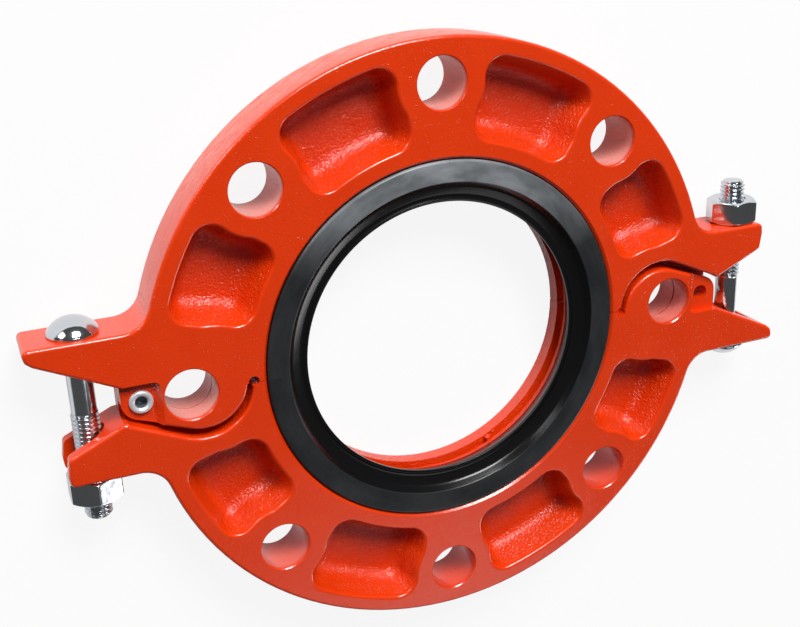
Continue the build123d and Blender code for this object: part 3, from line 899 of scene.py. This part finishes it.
def add_floor(scene, settings):
    """Round pale floor, seen nearly white. What mirrors it shows broad darker clouds in the white."""
    angle = np.linspace(0, 2 * np.pi, 96, endpoint=False)
    edge = np.stack([np.cos(angle), np.sin(angle), 0 * angle], -1) * settings.floor_radius
    mesh = bpy.data.meshes.new("floor")
    mesh.from_pydata(edge.tolist(), [], [list(range(len(edge)))])
    floor = bpy.data.objects.new("floor", mesh)
    scene.collection.objects.link(floor)
    material = bpy.data.materials.new("pale_floor")
    material.use_nodes = True
    tree = material.node_tree
    tree.nodes.remove(tree.nodes["Principled BSDF"])
    diffuse = add_node(tree, "ShaderNodeBsdfDiffuse", in_Color=(0.86, 0.86, 0.86, 1))
    white = add_node(tree, "ShaderNodeEmission", in_Strength=1.0)
    clouds_per_metre, dark_share = 5.0, 0.45
    clouds = add_node(tree, "ShaderNodeTexNoise", in_Scale=clouds_per_metre, in_Detail=1.0)
    tree.links.new(add_node(tree, "ShaderNodeTexCoord").outputs["Object"], clouds.inputs["Vector"])
    mirrored = value_range(tree, clouds.outputs["Fac"], 0.35, 0.65, dark_share * settings.floor_mirrored,
                           settings.floor_mirrored)
    shares = (("Is Camera Ray", settings.floor_white), ("Is Transmission Ray", settings.floor_white),
              ("Is Glossy Ray", mirrored))
    floor_look = seen_white(tree, diffuse, white, shares)
    tree.links.new(floor_look, tree.nodes["Material Output"].inputs["Surface"])
    mesh.materials.append(material)


def add_sky(scene, settings):
    """Faint light from all round, which is seen white."""
    world = bpy.data.worlds.new("studio")
    scene.world = world
    world.use_nodes = True
    tree = world.node_tree
    sky = tree.nodes["Background"]
    sky.inputs["Color"].default_value = (1, 1, 1, 1)
    sky.inputs["Strength"].default_value = settings.sky
    white = add_node(tree, "ShaderNodeBackground", in_Color=(1, 1, 1, 1), in_Strength=1.0)
    shares = (("Is Camera Ray", 1.0), ("Is Transmission Ray", 1.0), ("Is Glossy Ray", settings.sky_mirrored))
    sky_look = seen_white(tree, sky, white, shares)
    tree.links.new(sky_look, tree.nodes["World Output"].inputs["Surface"])


class StageOperator(bpy.types.Operator):
    """Set up the camera, the pale floor, the soft lamps and the light from all round"""

    bl_idname = "flange_adaptor.stage"
    bl_label = "Set up stage"

    def execute(self, context):
        scene, s = context.scene, context.scene.flange_stage
        scene.view_settings.view_transform = "Standard"
        add_camera(scene, s)
        add_floor(scene, s)
        add_sky(scene, s)
        for name, place, size in LAMPS:
            add_lamp(name, place, size, getattr(s, name + "_power"))
        return {"FINISHED"}


class FlangePanel(bpy.types.Panel):
    """Lists the steps and their settings"""

    bl_idname = "VIEW3D_PT_flange_adaptor"
    bl_label = "Flange adaptor"
    bl_space_type = "VIEW_3D"
    bl_region_type = "UI"
    bl_category = "Flange adaptor"

    def draw(self, context):
        scene = context.scene
        for operators, settings in STEPS:
            box = self.layout.box()
            for operator in operators:
                box.operator(operator.bl_idname)
            for name in getattr(scene, settings).__annotations__:
                box.prop(getattr(scene, settings), name)


STEPS = (
    ((CastingOperator,), "flange_casting"),
    ((GasketOperator,), "flange_gasket"),
    ((RivetOperator, BoltOperator, NutOperator), "flange_fastener"),
    ((StageOperator,), "flange_stage"),
)
SETTINGS = {
    "flange_casting": CastingSettings,
    "flange_gasket": GasketSettings,
    "flange_fastener": FastenerSettings,
    "flange_stage": StageSettings,
}
CLASSES = (
    *SETTINGS.values(), CastingOperator, GasketOperator, RivetOperator, BoltOperator, NutOperator,
    StageOperator, FlangePanel,
)


def register():
    for item in CLASSES:
        bpy.utils.register_class(item)
    for name, group in SETTINGS.items():
        setattr(bpy.types.Scene, name, PointerProperty(type=group))


def unregister():
    for name in SETTINGS:
        delattr(bpy.types.Scene, name)
    for item in reversed(CLASSES):
        bpy.utils.unregister_class(item)


def main():
    register()
    cast_skin_group()
    bpy.ops.flange_adaptor.stage()
    bpy.ops.flange_adaptor.castings()
    bpy.ops.flange_adaptor.gasket()
    bpy.ops.flange_adaptor.rivet()
    bpy.ops.flange_adaptor.bolts()
    bpy.ops.flange_adaptor.nuts()
    bpy.context.view_layer.update()


if __name__ == "__main__":
    main()
